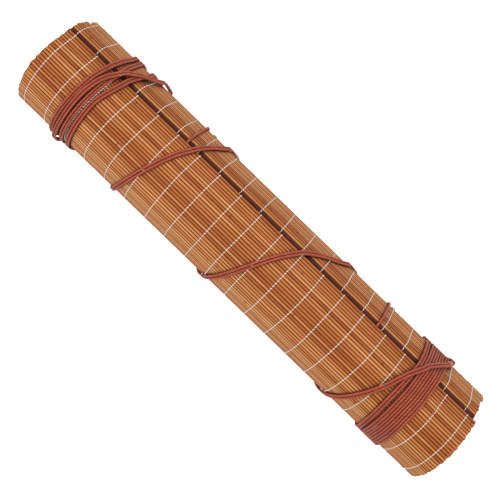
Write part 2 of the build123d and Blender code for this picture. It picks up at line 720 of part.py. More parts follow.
def rail_outlet(strand, level):
    """Nodes from the outlet pulley, through the rail, to the winding's start."""
    x_hole = OUTLET_X + strand * OUTLET_STRAND_SPACING / 2
    x_pulley = OUTLET_X
    lean = Vector(x_hole - x_pulley, RAIL_INNER_U - SHEAVE_U, 0).normalized()
    angle = math.atan2(-lean.X, lean.Y)
    centre = (x_pulley + SHEAVE_CORD_RADIUS, SHEAVE_U)
    off_x = centre[0] - SHEAVE_CORD_RADIUS * math.cos(angle)
    off_u = centre[1] - SHEAVE_CORD_RADIUS * math.sin(angle)
    half_x = centre[0] - SHEAVE_CORD_RADIUS * math.sin(math.pi / 4)
    half_u = centre[1] - SHEAVE_CORD_RADIUS * math.cos(math.pi / 4)
    half_dir = Vector(-1, 1, 0).normalized()
    out_u = rail_face_u - EXIT_RADIUS
    return [
        (Vector(centre[0], SHEAVE_U - SHEAVE_CORD_RADIUS, level), Vector(-1, 0, 0)),
        (Vector(half_x, half_u, level), half_dir),
        (Vector(off_x, off_u, level), lean),
        (Vector(x_hole, out_u, level), Vector(0, 1, 0)),
        (Vector(x_hole, rail_face_u, level - EXIT_RADIUS), Vector(0, 0, -1)),
    ]


def cord(number):
    """One whole cord: lift loop, pulleys, rail hole and winding."""
    x_rail, level = LIFT_X[number], LEVEL[number]
    strand = (-1, 1)[number]
    route = lift_loop(x_rail + KNOT_SHIFT, x_rail, level)
    turn_dir = Vector(-1, -1, 0).normalized()
    lean = SHEAVE_CORD_RADIUS * math.cos(math.pi / 4)
    centre_x = x_rail - SHEAVE_CORD_RADIUS
    route.append((Vector(x_rail, SHEAVE_U, level), Vector(0, -1, 0)))
    route.append((Vector(centre_x + lean, SHEAVE_U - lean, level), turn_dir))
    route.append((Vector(centre_x, SHEAVE_U - SHEAVE_CORD_RADIUS, level), Vector(-1, 0, 0)))
    route += rail_outlet(strand, level)
    route += winding_nodes(strand)
    return route


def least_gap(edges):
    """Least gap of a cord to itself, measured on points along it."""
    points = []
    for edge in edges:
        count = max(2, int(edge.length / CORD_DIAMETER) + 1)
        for k in range(count):
            points.append(edge.position_at(k / count))
    gone = [0]
    for a, b in zip(points, points[1:]):
        gone.append(gone[-1] + (b - a).length)
    best = math.inf
    cells = {}
    size = 3 * CORD_DIAMETER
    for k, point in enumerate(points):
        key = tuple(int(math.floor(c / size)) for c in (point.X, point.Y, point.Z))
        cells.setdefault(key, []).append(k)
    for (i, j, m), members in cells.items():
        near = []
        for a in (i - 1, i, i + 1):
            for b in (j - 1, j, j + 1):
                for c in (m - 1, m, m + 1):
                    near += cells.get((a, b, c), [])
        for k in members:
            for other in near:
                if gone[other] - gone[k] > 4 * size:
                    best = min(best, (points[other] - points[k]).length)
    return best - CORD_DIAMETER


# Whole cords, pressed flat under the roll
base_w = -hull_low - CORD_DIAMETER / 2 + BASE_CUT
below = Pos(0, 0, base_w) * Box(
    2 * BLIND_WIDTH, 2 * BLIND_WIDTH, 2 * BASE_CUT, align=(Align.CENTER, Align.CENTER, Align.MAX)
)
section_area = math.pi * CORD_DIAMETER ** 2 / 4
for number, name in enumerate(("cord_right", "cord_left")):
    edges = centre_line(cord(number))
    full_length = sum(edge.length for edge in edges)
    radii = [edge.radius for edge in edges if edge.geom_type == GeomType.CIRCLE]
    whole = tube(edges)
    ratio = whole.volume / (section_area * full_length)
    print(f"{name}: {full_length:.0f} mm long, least radius {min(radii):.1f} mm")
    print(f"{name}: least gap {least_gap(edges):.2f} mm, volume over section times length {ratio:.4f}")
    nodes[name] = [whole - below]

# Knots of the lift cords, against the rail's wall side
knots = []
for x in LIFT_X:
    centre = (x + KNOT_SHIFT, RAIL_OUTER_U + KNOT_RADIUS * KNOT_SHARE, KNOT_LEVEL)
    ball = Pos(*centre) * Sphere(KNOT_RADIUS)
    rail_side = Pos(x + KNOT_SHIFT, RAIL_OUTER_U, KNOT_LEVEL) * Box(
        4 * KNOT_RADIUS, 4 * KNOT_RADIUS, 4 * KNOT_RADIUS, align=(Align.CENTER, Align.MAX, Align.CENTER)
    )
    knots.append(ball - rail_side)
nodes["lift_cord_knots"] = knots

# Acorn on the two ends of the pull cord
end_a, end_b = (winding_nodes(strand)[-1] for strand in (-1, 1))
acorn_start = (end_a[0] + end_b[0]) / 2
acorn_dir = (end_a[1] + end_b[1]).normalized()
belly = (ACORN_RADIUS, ACORN_LENGTH * BELLY_SHARE)
acorn_outline = [
    Edge.make_line(Vector(0, 0, 0), Vector(ACORN_TOP_RADIUS, 0, 0)),
    Edge.make_three_point_arc(
        Vector(ACORN_TOP_RADIUS, 0, 0), Vector(belly[0], 0, belly[1]), Vector(ACORN_TIP_RADIUS, 0, ACORN_LENGTH)
    ),
    Edge.make_line(Vector(ACORN_TIP_RADIUS, 0, ACORN_LENGTH), Vector(0, 0, ACORN_LENGTH)),
    Edge.make_line(Vector(0, 0, ACORN_LENGTH), Vector(0, 0, 0)),
]
acorn_plane = Plane(acorn_start, z_dir=acorn_dir)
nodes["cord_acorn"] = [acorn_plane * revolve(Face(Wire(acorn_outline)), Axis.Z)]


def screw(point, inward, shank):
    """Pan-headed wood screw, its head seated at the point."""
    px, pu, pw = point
    tip = (px, pu + inward * shank, pw)
    top = (px, pu - inward * SCREW_HEAD_HEIGHT, pw)
    return bar(point, tip, SCREW_RADIUS) + bar(top, point, SCREW_HEAD_RADIUS)


def screw_hole(point, inward, shank):
    px, pu, pw = point
    start = (px, pu - inward * SCREW_PLAY, pw)
    return bar(start, (px, pu + inward * (shank + SCREW_PLAY), pw), SCREW_RADIUS + SCREW_PLAY)


def between(x0, x1, u0, u1, w0, w1):
    """Block between two corners."""
    middle = ((x0 + x1) / 2, (u0 + u1) / 2, (w0 + w1) / 2)
    return Pos(*middle) * Box(abs(x1 - x0), abs(u1 - u0), abs(w1 - w0))


def pulley(name, x, levels, ear_side):
    """Bracket, sheaves, axle pin and screw of one pulley on the rail's inner face."""
    half = SHEAVE_THICKNESS / 2
    reach = half + PLATE_GAP
    top, low = max(levels) + reach + PLATE, min(levels) - reach - PLATE
    nose = SHEAVE_U - BRACKET_NOSE
    side = BRACKET_WIDTH / 2
    ear = x + ear_side * EAR_LENGTH
    bracket = between(x, ear, RAIL_INNER_U - PLATE, RAIL_INNER_U, low, top)
    bracket += between(x - side, x + side, nose, RAIL_INNER_U, top - PLATE, top)
    bracket += between(x - side, x + side, nose, RAIL_INNER_U, low, low + PLATE)
    if len(levels) > 1:
        middle = sum(levels) / 2
        bracket += between(
            x - side, x + side, nose, RAIL_INNER_U, middle - PLATE / 2, middle + PLATE / 2
        )
    shaft = bar((x, SHEAVE_U, low - PIN_HEAD), (x, SHEAVE_U, top + PIN_HEAD), PIN_RADIUS)
    bracket -= bar((x, SHEAVE_U, low - PIN_HEAD), (x, SHEAVE_U, top + PIN_HEAD), PIN_RADIUS + PIN_PLAY)
    head = PIN_RADIUS + PLATE
    shaft += bar((x, SHEAVE_U, top), (x, SHEAVE_U, top + PIN_HEAD), head)
    shaft += bar((x, SHEAVE_U, low - PIN_HEAD), (x, SHEAVE_U, low), head)
    screw_x = x + ear_side * (side + EAR_LENGTH) / 2
    screw_point = (screw_x, RAIL_INNER_U - PLATE, (top + low) / 2)
    bracket -= screw_hole(screw_point, 1, SCREW_DEPTH)
    rail_cuts.append(screw_hole(screw_point, 1, SCREW_DEPTH))
    pulley_screws.append(screw(screw_point, 1, SCREW_DEPTH))
    nodes[f"{name}_bracket"] = [bracket]
    nodes[f"{name}_pin"] = [shaft]
    groove = CORD_DIAMETER / 2 + GROOVE_CLEARANCE
    for index, level in enumerate(levels):
        ending = "" if len(levels) == 1 else f"_{index + 1}"
        wheel = Pos(x, SHEAVE_U, level) * Cylinder(SHEAVE_RADIUS, SHEAVE_THICKNESS)
        wheel -= Pos(x, SHEAVE_U, level) * Torus(SHEAVE_CORD_RADIUS, groove)
        rim = Cylinder(SHEAVE_RADIUS + groove, 2 * groove) - Cylinder(SHEAVE_CORD_RADIUS, 2 * groove)
        wheel -= Pos(x, SHEAVE_U, level) * rim
        wheel -= Pos(x, SHEAVE_U, level) * Cylinder(PIN_RADIUS + PIN_PLAY, SHEAVE_THICKNESS)
        nodes[f"{name}_sheave{ending}"] = [wheel]


# Pulleys between the roll and the rail
pulley_screws = []
pulley("pulley_right", LIFT_X[0] - SHEAVE_CORD_RADIUS, LEVEL[:1], -1)
pulley("pulley_left", LIFT_X[1] - SHEAVE_CORD_RADIUS, LEVEL[1:], -1)
pulley("pulley_outlet", OUTLET_X + SHEAVE_CORD_RADIUS, LEVEL, 1)
nodes["pulley_screws"] = pulley_screws

# Steel hangers on the rail's wall side, with a hole for the wall screw
hanger_screws = []
for name, side in (("hanger_left", -1), ("hanger_right", 1)):
    x = side * HANGER_X
    outer = RAIL_OUTER_U + HANGER_THICKNESS
    plate = between(
        x - HANGER_WIDTH / 2, x + HANGER_WIDTH / 2, RAIL_OUTER_U, outer, HANGER_BOTTOM, HANGER_TOP
    )
    plate = fillet(plate.edges().filter_by(Axis.Y), HANGER_CORNER)
    plate -= bar((x, RAIL_OUTER_U, HANGER_HOLE_LEVEL), (x, outer, HANGER_HOLE_LEVEL), HANGER_HOLE_RADIUS)
    for level, shift in zip(HANGER_SCREW_LEVELS, (-HANGER_SCREW_SHIFT, HANGER_SCREW_SHIFT)):
        point = (x + shift, outer, level)
        plate -= screw_hole(point, -1, SCREW_DEPTH)
        rail_cuts.append(screw_hole(point, -1, SCREW_DEPTH))
        hanger_screws.append(screw(point, -1, SCREW_DEPTH))
    nodes[name] = [plate]
nodes["hanger_screws"] = hanger_screws

# Cord holes of the head rail
for x, level in zip(LIFT_X, LEVEL):
    for hole_x, hole_w in ((x, level), (x + KNOT_SHIFT, KNOT_LEVEL)):
        start, end = (hole_x, RAIL_INNER_U, hole_w), (hole_x, RAIL_OUTER_U, hole_w)
        rail_cuts.append(bar(start, end, HOLE_RADIUS))
for side, level in zip((-1, 1), LEVEL):
    hole_x = OUTLET_X + side * OUTLET_HOLE_SPACING / 2
    rail_cuts.append(bar((hole_x, RAIL_INNER_U, level), (hole_x, RAIL_OUTER_U, level), OUTLET_HOLE_RADIUS))
nodes["head_rail"] = [head_rail - rail_cuts]
nodes["bottom_rail"] = [bottom_rail]

# Origin at the middle of the base
boxes = [shape.bounding_box() for shapes in nodes.values() for shape in shapes]
low_x, high_x = min(b.min.X for b in boxes), max(b.max.X for b in boxes)
low_y, high_y = min(b.min.Y for b in boxes), max(b.max.Y for b in boxes)
low_z, high_z = min(b.min.Z for b in boxes), max(b.max.Z for b in boxes)
origin = (-(low_x + high_x) / 2, -(low_y + high_y) / 2, -low_z)
print(f"size {high_x - low_x:.1f} x {high_y - low_y:.1f} x {high_z - low_z:.1f} mm")
print(f"roll centre at {origin[0]:.3f}, {origin[1]:.3f}, {origin[2]:.3f} mm")
for name, shapes in nodes.items():
    solids = [Pos(*origin) * solid for shape in shapes for solid in shape.solids()]
    export_step(Compound(children=solids), f"parts/{name}.step")
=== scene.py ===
"""Looks of the rolled and tied bamboo blind.

Sections are worked out across the roll in millimetres, u towards the head rail and
w up, from the roll's centre. X runs along the roll. Meshes are written in metres.
"""

import json
import math
import random

import bpy
import numpy as np
from mathutils import Matrix, Vector


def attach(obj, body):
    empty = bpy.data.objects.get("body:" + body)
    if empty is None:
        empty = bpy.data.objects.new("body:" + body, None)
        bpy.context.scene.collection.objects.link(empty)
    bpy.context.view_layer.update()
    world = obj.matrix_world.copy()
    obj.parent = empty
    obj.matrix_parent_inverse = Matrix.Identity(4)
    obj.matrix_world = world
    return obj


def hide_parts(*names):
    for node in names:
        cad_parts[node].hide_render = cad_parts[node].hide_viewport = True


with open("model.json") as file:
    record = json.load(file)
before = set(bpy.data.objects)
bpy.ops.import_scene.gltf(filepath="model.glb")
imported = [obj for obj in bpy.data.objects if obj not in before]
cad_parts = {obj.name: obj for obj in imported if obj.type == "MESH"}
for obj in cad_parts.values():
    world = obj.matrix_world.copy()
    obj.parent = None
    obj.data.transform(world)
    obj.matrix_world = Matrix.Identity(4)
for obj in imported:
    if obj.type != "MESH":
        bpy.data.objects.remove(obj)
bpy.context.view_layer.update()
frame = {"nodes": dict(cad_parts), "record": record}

MM = 0.001
ROLL_CENTRE = Vector((-0.250, -8.636, 45.171))

# Blind, slats and rows of cotton
BLIND_WIDTH = 597.0
MAT_SHIFT = -1.5
VALANCE_SHIFT = 1.5
CORNER_SHIFT = 3.5
CORNER_SLATS = 3
RAIL_SLATS = 1
MAT_TURNS = 9
SLAT_WIDTH = 3.3
SLAT_THICKNESS = 1.1
SLAT_PITCH = 3.6
BEND_PITCH = 3.8
THREAD_ROWS = 20
THREAD_SPAN = 574.0
MAT_THREAD_SHIFT = -4.0
THREAD_RADIUS = 0.4

# Painted shadow under the valance's free edge: its reach and its strength
EDGE_SHADOW_REACH = 4.0
EDGE_DARKEST = 0.97

# The slats of the outer turn stand out at the right end
TURN_1_LONGER = 2.4

# How one slat differs from the next
SLAT_STRAY = 0.07
SLAT_WIDTHS = (0.93, 0.985)
SLAT_THICKNESSES = (0.9, 1.0)
SLAT_SINK = 0.1
SLAT_ENDS = (-0.2, 0.9)
SLAT_BOW = 0.07
BOW_RATE = 0.021
TONE_KEPT = 0.35
END_TONE = 0.6
END_STAIN = 0.1
RINGED_SHARE = 0.3
RING_START = (0.05, 0.55)
RING_SPACING = (190, 300)
RING_STEPS = ((-1.6, 0.0), (-0.5, 1.0), (0.5, 1.0), (1.6, 0.0))
RING_HEIGHT = 0.08
RING_END_ROOM = 4
SEED_DISTANCES = (37.0, 91.0)

# Points on each slat's length: where it shows, and in the turns that hide it
SHOWN_SEGMENTS = 10
VALANCE_SEGMENTS = 12
HIDDEN_SEGMENTS = 2

# A stitch over one slat: share of the pitch, height, and how dark it is with painted shade and dirt, full
# in the gap
THREAD_SIDES = 5
THREAD_LEAN = 0.45
THREAD_OVER = 0.55 * THREAD_RADIUS
THREAD_DIP = 0.9
STITCH = (
    (-0.36, -0.4 * THREAD_DIP, 1.0),
    (-0.29, THREAD_OVER, 0.1),
    (0.0, THREAD_OVER, 0.0),
    (0.29, THREAD_OVER, 0.1),
    (0.36, -0.4 * THREAD_DIP, 1.0),
    (0.5, -THREAD_DIP, 1.0),
)
# Waves of a row along the slats: reach, rate for each slat, and multiple of the row's phase
THREAD_WANDER = ((0.7, 0.045, 1), (0.35, 0.21, 3))

# Roll, rail and valance
MAT_TURN_RADIUS = 45.5
LAYER_PITCH = 2.5
BASE_HALF_FLAT = 8.0
BULGE_RADIUS = 18.0
BULGE_U = 38.5
BULGE_W = 11.5
RAIL_DROP = 6.34
VALANCE_OVERHANG = 21.9
VALANCE_RADIUS = 50.0
RAIL_CENTRE_U = 62.7
RAIL_HEIGHT = 28.0
RAIL_THICKNESS = 8.4
BEND_RADIUS = 5.65

# Cords
CORD_DIAMETER = 2.8
PAIR_SPACING = 3.1
CROSSING_LIFT = 3.6
CORD_CLEARANCE = 0.3
THREAD_ROOM = 0.6
EXIT_RADIUS = 3.2
KNOT_BEND_RADIUS = 6.4
KNOT_BEND_POINTS = 4
LIFT_X = (154.0, -126.0)
LEVEL_RISE = (11.44, 5.44)
KNOT_RISE = 1.94
KNOT_SHIFT = 10.0
KNOT_RUN = 5.0
KNOT_RADIUS = 2.9
KNOT_CORD_SHARE = 0.62
KNOT_HEIGHT_SHARE = 0.7
KNOT_POINTS = 60
KNOT_SIDES = 10
KNOT_LOBES = 3
KNOT_LAY = 6.0
KNOT_GROOVE = 0.12
OUTLET_X = -202.5
OUTLET_STRAND_SPACING = 3.3
SHEAVE_U = 50.0
SHEAVE_CORD_RADIUS = 4.5
END_REACH = 6.0
FLATTENED = 0.2
ACORN_RADIUS = 4.4
CORD_SIDES = 12
CORD_LOBES = 2
CORD_LAY = 8.0
CORD_GROOVE = 0.2
ROUTE_STEP = 1.2
WINDING_STEP = 1.3
TIGHT_STEP = 0.7
TIGHT_PIECES = ("edge", "corner", "low_corner")
SLOPE_STEP = 1.1

# Place of the doubled cord along X, at nine stations round the roll, a row for each winding
WINDING_X = (
    (-203.5, -212.0, -221.0, -220.5, -221.3, -217.9, -214.7, -209.5, -209.5),
    (-210.5, -219.5, -230.0, -229.5, -229.0, -228.7, -226.7, -228.0, -228.0),
    (-228.5, -234.5, -245.0, -243.8, -242.5, -242.0, -238.9, -236.0, -236.0),
    (-236.3, -237.7, -238.0, -237.0, -236.0, -233.3, -224.4, -194.0, -178.0),
    (-172.0, -163.0, -154.6, -144.5, -131.5, -122.9, -112.9, -91.0, -58.0),
    (-48.0, -34.0, -20.0, -2.5, 16.5, 29.5, 44.6, 93.0, 128.0),
    (136.0, 149.0, 163.0, 181.0, 199.0, 208.7, 220.4, 249.0, 248.8),
    (248.6, 247.8, 246.5, 242.5, 239.8, 239.9, 239.6, 242.0, 242.2),
    (242.0, 241.2, 240.2, 236.1, 233.5, 233.6, 233.3, 235.4, 235.6),
    (235.4, 234.7, 233.9, 229.7, 227.2, 227.3, 227.0, 228.8, 229.0),
    (228.9, 228.3, 227.5, 223.4, 220.9, 221.0, 220.7, 222.2, 222.4),
    (222.2, 221.6, 220.9, 215.0, 212.0, 213.0, 214.2, 214.5, 214.5),
)

# Windings that cross others, and their share of the lift at the same stations
LIFT_SHARES = {
    3: (0.0, 1.0, 1.0, 0.1, 0.8, 1.0, 1.0, 0.6, 0.0),
    6: (0.0, 0.0, 0.0, 0.0, 0.5, 0.87, 1.0, 0.7, 0.0),
}

# Camera, as the photograph was taken: straight down, the roll across the frame
CAMERA_TURN = 44.05
CAMERA_PLACE = Vector((1.2, -3.6, 905.0))
CAMERA_LENS = 56.2

# Floor, in metres, and how strongly floor and background shine
FLOOR_SIZE = 8
FLOOR_DROP = 0.0002
FLOOR_GLOW = 0.5
WORLD_LIGHT = 0.32

# Lamps: place and size in metres, and watts
LAMP_TARGET = (0, 0, 0.05)
KEY = ((-0.4, -0.8, 1.7), 0.7, 25)
FILL = ((0.3, 1.1, 1.5), 1.0, 20)

rng = random.Random(7)


# Camera, light and floor

def make_camera():
    data = bpy.data.cameras.new("camera")
    data.lens = CAMERA_LENS
    data.sensor_width = 36
    camera = bpy.data.objects.new("camera", data)
    camera.location = CAMERA_PLACE * MM
    camera.rotation_euler = (0, 0, math.radians(CAMERA_TURN))
    bpy.context.collection.objects.link(camera)
    bpy.context.scene.camera = camera


def area_light(name, stand, size, watts):
    data = bpy.data.lights.new(name, "AREA")
    data.shape = "RECTANGLE"
    data.size, data.size_y = size, size
    data.energy = watts
    light = bpy.data.objects.new(name, data)
    light.location = stand
    light.rotation_euler = (Vector(LAMP_TARGET) - Vector(stand)).to_track_quat("-Z", "Y").to_euler()
    bpy.context.collection.objects.link(light)


def seen_ray(nodes, links):
    """1 on rays that see the background: straight, in a reflection or through glass."""
    path = nodes.new("ShaderNodeLightPath")
    total = None
    for ray in ("Is Camera Ray", "Is Glossy Ray", "Is Transmission Ray"):
        if total is None:
            total = path.outputs[ray]
            continue
        add = nodes.new("ShaderNodeMath")
        add.operation = "MAXIMUM"
        links.new(total, add.inputs[0])
        links.new(path.outputs[ray], add.inputs[1])
        total = add.outputs[0]
    return total


def make_world():
    world = bpy.data.worlds.new("world")
    bpy.context.scene.world = world
    world.use_nodes = True
    nodes, links = world.node_tree.nodes, world.node_tree.links
    background = nodes["Background"]
    background.inputs["Color"].default_value = (1, 1, 1, 1)
    strength = nodes.new("ShaderNodeMapRange")
    strength.inputs["To Min"].default_value = WORLD_LIGHT
    strength.inputs["To Max"].default_value = 1.0
    links.new(seen_ray(nodes, links), strength.inputs["Value"])
    links.new(strength.outputs["Result"], background.inputs["Strength"])


def make_floor():
    bpy.ops.mesh.primitive_plane_add(size=FLOOR_SIZE, location=(0, 0, -FLOOR_DROP))
    floor = bpy.context.object
    floor.name = "floor"
    material = bpy.data.materials.new("floor")
    material.use_nodes = True
    nodes, links = material.node_tree.nodes, material.node_tree.links
    shader = nodes["Principled BSDF"]
    shader.inputs["Base Color"].default_value = (0.9, 0.9, 0.9, 1)
    shader.inputs["Roughness"].default_value = 0.9
    shader.inputs["Emission Color"].default_value = (1, 1, 1, 1)
    strength = nodes.new("ShaderNodeMath")
    strength.operation = "MULTIPLY"
    strength.inputs[1].default_value = FLOOR_GLOW
    links.new(seen_ray(nodes, links), strength.inputs[0])
    links.new(strength.outputs[0], shader.inputs["Emission Strength"])
    floor.data.materials.append(material)


# Section paths

def arc(centre, radius, start, end):
    """Arc of a section path, its angles given in degrees."""
    return ("arc", centre, radius, math.radians(start), math.radians(end))


def line(start, end):
    return ("line", start, end)


def length_of(piece):
    if piece[0] == "line":
        return math.dist(piece[1], piece[2])
    return piece[2] * abs(piece[4] - piece[3])


def on_piece(piece, distance):
    """Point and heading at a distance along one line or arc."""
    if piece[0] == "line":
        (u0, w0), (u1, w1) = piece[1], piece[2]
        full = length_of(piece)
        heading = ((u1 - u0) / full, (w1 - w0) / full)
        return (u0 + heading[0] * distance, w0 + heading[1] * distance), heading
    (cu, cw), radius, start, end = piece[1:]
    turn = 1 if end > start else -1
    angle = start + turn * distance / radius
    point = (cu + radius * math.cos(angle), cw + radius * math.sin(angle))
    return point, (-turn * math.sin(angle), turn * math.cos(angle))


def along(path, distance):
    """Point and heading at a distance along a path."""
    for piece in path[:-1]:
        full = length_of(piece)
        if distance <= full:
            return on_piece(piece, distance)
        distance -= full
    return on_piece(path[-1], distance)


def total(path):
    return sum(length_of(piece) for piece in path)


def tangent_angle(centre_a, radius_a, centre_b, radius_b, side):
    """Angle at which a common outer tangent touches both circles."""
    du, dw = centre_b[0] - centre_a[0], centre_b[1] - centre_a[1]
    across = math.acos((radius_a - radius_b) / math.hypot(du, dw))
    return math.atan2(dw, du) + side * across


def on_circle(centre, radius, angle):
    return (centre[0] + radius * math.cos(angle), centre[1] + radius * math.sin(angle))


RAIL_ROUND_W = -RAIL_DROP
RAIL_LOW_W = RAIL_ROUND_W - (RAIL_HEIGHT - RAIL_THICKNESS)
LEVEL = [RAIL_LOW_W + rise for rise in LEVEL_RISE]
KNOT_LEVEL = RAIL_LOW_W + KNOT_RISE
RAIL_INNER_U = RAIL_CENTRE_U - RAIL_THICKNESS / 2
RAIL_OUTER_U = RAIL_CENTRE_U + RAIL_THICKNESS / 2
rail_round = (RAIL_CENTRE_U, RAIL_ROUND_W)
rail_low = (RAIL_CENTRE_U, RAIL_LOW_W)
roll_left = (-BASE_HALF_FLAT, 0)
roll_right = (BASE_HALF_FLAT, 0)
bulge = (BULGE_U, BULGE_W)
LEAVE = tangent_angle((0, 0), MAT_TURN_RADIUS, bulge, BULGE_RADIUS, 1)
LAND = tangent_angle(bulge, BULGE_RADIUS, rail_round, BEND_RADIUS, 1)
LEAVE_ANGLE, LAND_ANGLE = math.degrees(LEAVE), math.degrees(LAND)


def slope_down(offset):
    """Front of the mat, from the rail's corner up over the bulge to the roll."""
    corner, shoulder, reach = BEND_RADIUS + offset, BULGE_RADIUS + offset, MAT_TURN_RADIUS + offset
    return [
        arc(rail_round, corner, 0, LAND_ANGLE),
        line(on_circle(rail_round, corner, LAND), on_circle(bulge, shoulder, LAND)),
        arc(bulge, shoulder, LAND_ANGLE, LEAVE_ANGLE),
        line(on_circle(bulge, shoulder, LEAVE), on_circle((0, 0), reach, LEAVE)),
    ]


def make_mat_path():
    """The mat's outer face, from the rail up its front and round inwards, and its turns' ends."""
    outer_u = RAIL_CENTRE_U + BEND_RADIUS
    path = [
        line((outer_u, RAIL_ROUND_W - RAIL_SLATS * SLAT_PITCH), (outer_u, RAIL_ROUND_W)),
        *slope_down(0),
        arc((0, 0), MAT_TURN_RADIUS, LEAVE_ANGLE, 180),
    ]
    roll_start = total(path[:-1])
    ends = [roll_start]
    radius = MAT_TURN_RADIUS
    for turn in range(MAT_TURNS):
        half = radius - LAYER_PITCH / 2
        low = half - BASE_HALF_FLAT
        left = (-LAYER_PITCH / 2 - BASE_HALF_FLAT, 0)
        right = (-LAYER_PITCH / 2 + BASE_HALF_FLAT, 0)
        path.append(arc(left, low, 180, 270))
        path.append(line((left[0], -low), (right[0], -low)))
        if turn == MAT_TURNS - 1:
            break
        path.append(arc(right, low, 270, 360))
        radius -= LAYER_PITCH
        ends.append(total(path))
        path.append(arc((0, 0), radius, 0, 180))
    ends.append(total(path))
    return path, ends


def make_valance_path():
    """The valance's outer face, from the rail's low edge under and over the roll, and its end."""
    low = VALANCE_RADIUS - BASE_HALF_FLAT
    slope = tangent_angle(roll_right, low, rail_low, BEND_RADIUS, -1)
    start = on_circle(rail_low, BEND_RADIUS, slope)
    run = SLAT_WIDTH / 2
    start = (start[0] - run * math.sin(slope), start[1] + run * math.cos(slope))
    top = on_circle((0, 0), VALANCE_RADIUS, LEAVE)
    free = (top[0] + VALANCE_OVERHANG * math.sin(LEAVE), top[1] - VALANCE_OVERHANG * math.cos(LEAVE))
    path = [
        line(start, on_circle(roll_right, low, slope)),
        arc(roll_right, low, math.degrees(slope), -90),
        line((BASE_HALF_FLAT, -low), (-BASE_HALF_FLAT, -low)),
        arc(roll_left, low, 270, 180),
        arc((0, 0), VALANCE_RADIUS, 180, LEAVE_ANGLE),
        line(top, free),
    ]
    return path, free


mat_path, turn_ends = make_mat_path()
valance_path, free_edge = make_valance_path()


def place(x, u, w):
    """Point of the row frame, in metres, from section millimetres."""
    return ((x + ROLL_CENTRE.x) * MM, (u + ROLL_CENTRE.y) * MM, (w + ROLL_CENTRE.z) * MM)


# Materials

def new_material(name, roughness):
    material = bpy.data.materials.new(name)
    material.use_nodes = True
    nodes, links = material.node_tree.nodes, material.node_tree.links
    shader = nodes["Principled BSDF"]
    shader.inputs["Roughness"].default_value = roughness
    return material, nodes, links, shader


def attribute(nodes, name):
    made = nodes.new("ShaderNodeAttribute")
    made.attribute_name = name
    return made.outputs["Fac"]


def scaled_position(nodes, links, scale, offset=None):
    """Object position, stretched by a scale for each axis."""
    coordinates = nodes.new("ShaderNodeTexCoord")
    multiply = nodes.new("ShaderNodeVectorMath")
    multiply.operation = "MULTIPLY"
    links.new(coordinates.outputs["Object"], multiply.inputs[0])
    multiply.inputs[1].default_value = scale
    if offset is None:
        return multiply.outputs[0]
    shift = nodes.new("ShaderNodeVectorMath")
    shift.operation = "ADD"
    links.new(multiply.outputs[0], shift.inputs[0])
    links.new(offset, shift.inputs[1])
    return shift.outputs[0]


def noise(nodes, links, vector, scale, detail=3.0, roughness=0.55):
    made = nodes.new("ShaderNodeTexNoise")
    made.inputs["Scale"].default_value = scale
    made.inputs["Detail"].default_value = detail
    made.inputs["Roughness"].default_value = roughness
    links.new(vector, made.inputs["Vector"])
    return made.outputs["Fac"]


def ramp(nodes, links, value, stops):
    made = nodes.new("ShaderNodeValToRGB")
    elements = made.color_ramp.elements
    while len(elements) < len(stops):
        elements.new(0.5)
    for element, (position, colour) in zip(elements, stops):
        element.position = position
        element.color = (*colour, 1)
    links.new(value, made.inputs["Fac"])
    return made.outputs["Color"]


def math_node(nodes, links, operation, *values):
    made = nodes.new("ShaderNodeMath")
    made.operation = operation
    for index, value in enumerate(values):
        if isinstance(value, (int, float)):
            made.inputs[index].default_value = value
        else:
            links.new(value, made.inputs[index])
    return made.outputs[0]


def mix_colour(nodes, links, kind, factor, a, b):
    made = nodes.new("ShaderNodeMix")
    made.data_type = "RGBA"
    made.blend_type = kind
    for key, value in (("Factor", factor), ("A", a), ("B", b)):
        socket = [s for s in made.inputs if s.name == key and s.enabled][0]
        if isinstance(value, (int, float, tuple)):
            socket.default_value = value
        else:
            links.new(value, socket)
    return [s for s in made.outputs if s.enabled][0]


def bump(nodes, links, height, shader, distance, strength=1.0):
    made = nodes.new("ShaderNodeBump")
    made.inputs["Strength"].default_value = strength
    made.inputs["Distance"].default_value = distance
    links.new(height, made.inputs["Height"])
    links.new(made.outputs["Normal"], shader.inputs["Normal"])


def painted_crevice_shade(nodes, links, colour, distance, tint):
    """Painted shade: darkens a colour in gaps and corners, where shade falls.

    The tint starts where 86 % of the surroundings are open, and is full at 46 %.
    """
    closeness = nodes.new("ShaderNodeAmbientOcclusion")
    closeness.samples = 8
    closeness.inputs["Distance"].default_value = distance
    depth = nodes.new("ShaderNodeMapRange")
    links.new(closeness.outputs["AO"], depth.inputs["Value"])
    depth.inputs["From Min"].default_value = 0.86
    depth.inputs["From Max"].default_value = 0.46
    return mix_colour(nodes, links, "MULTIPLY", depth.outputs["Result"], colour, (*tint, 1))


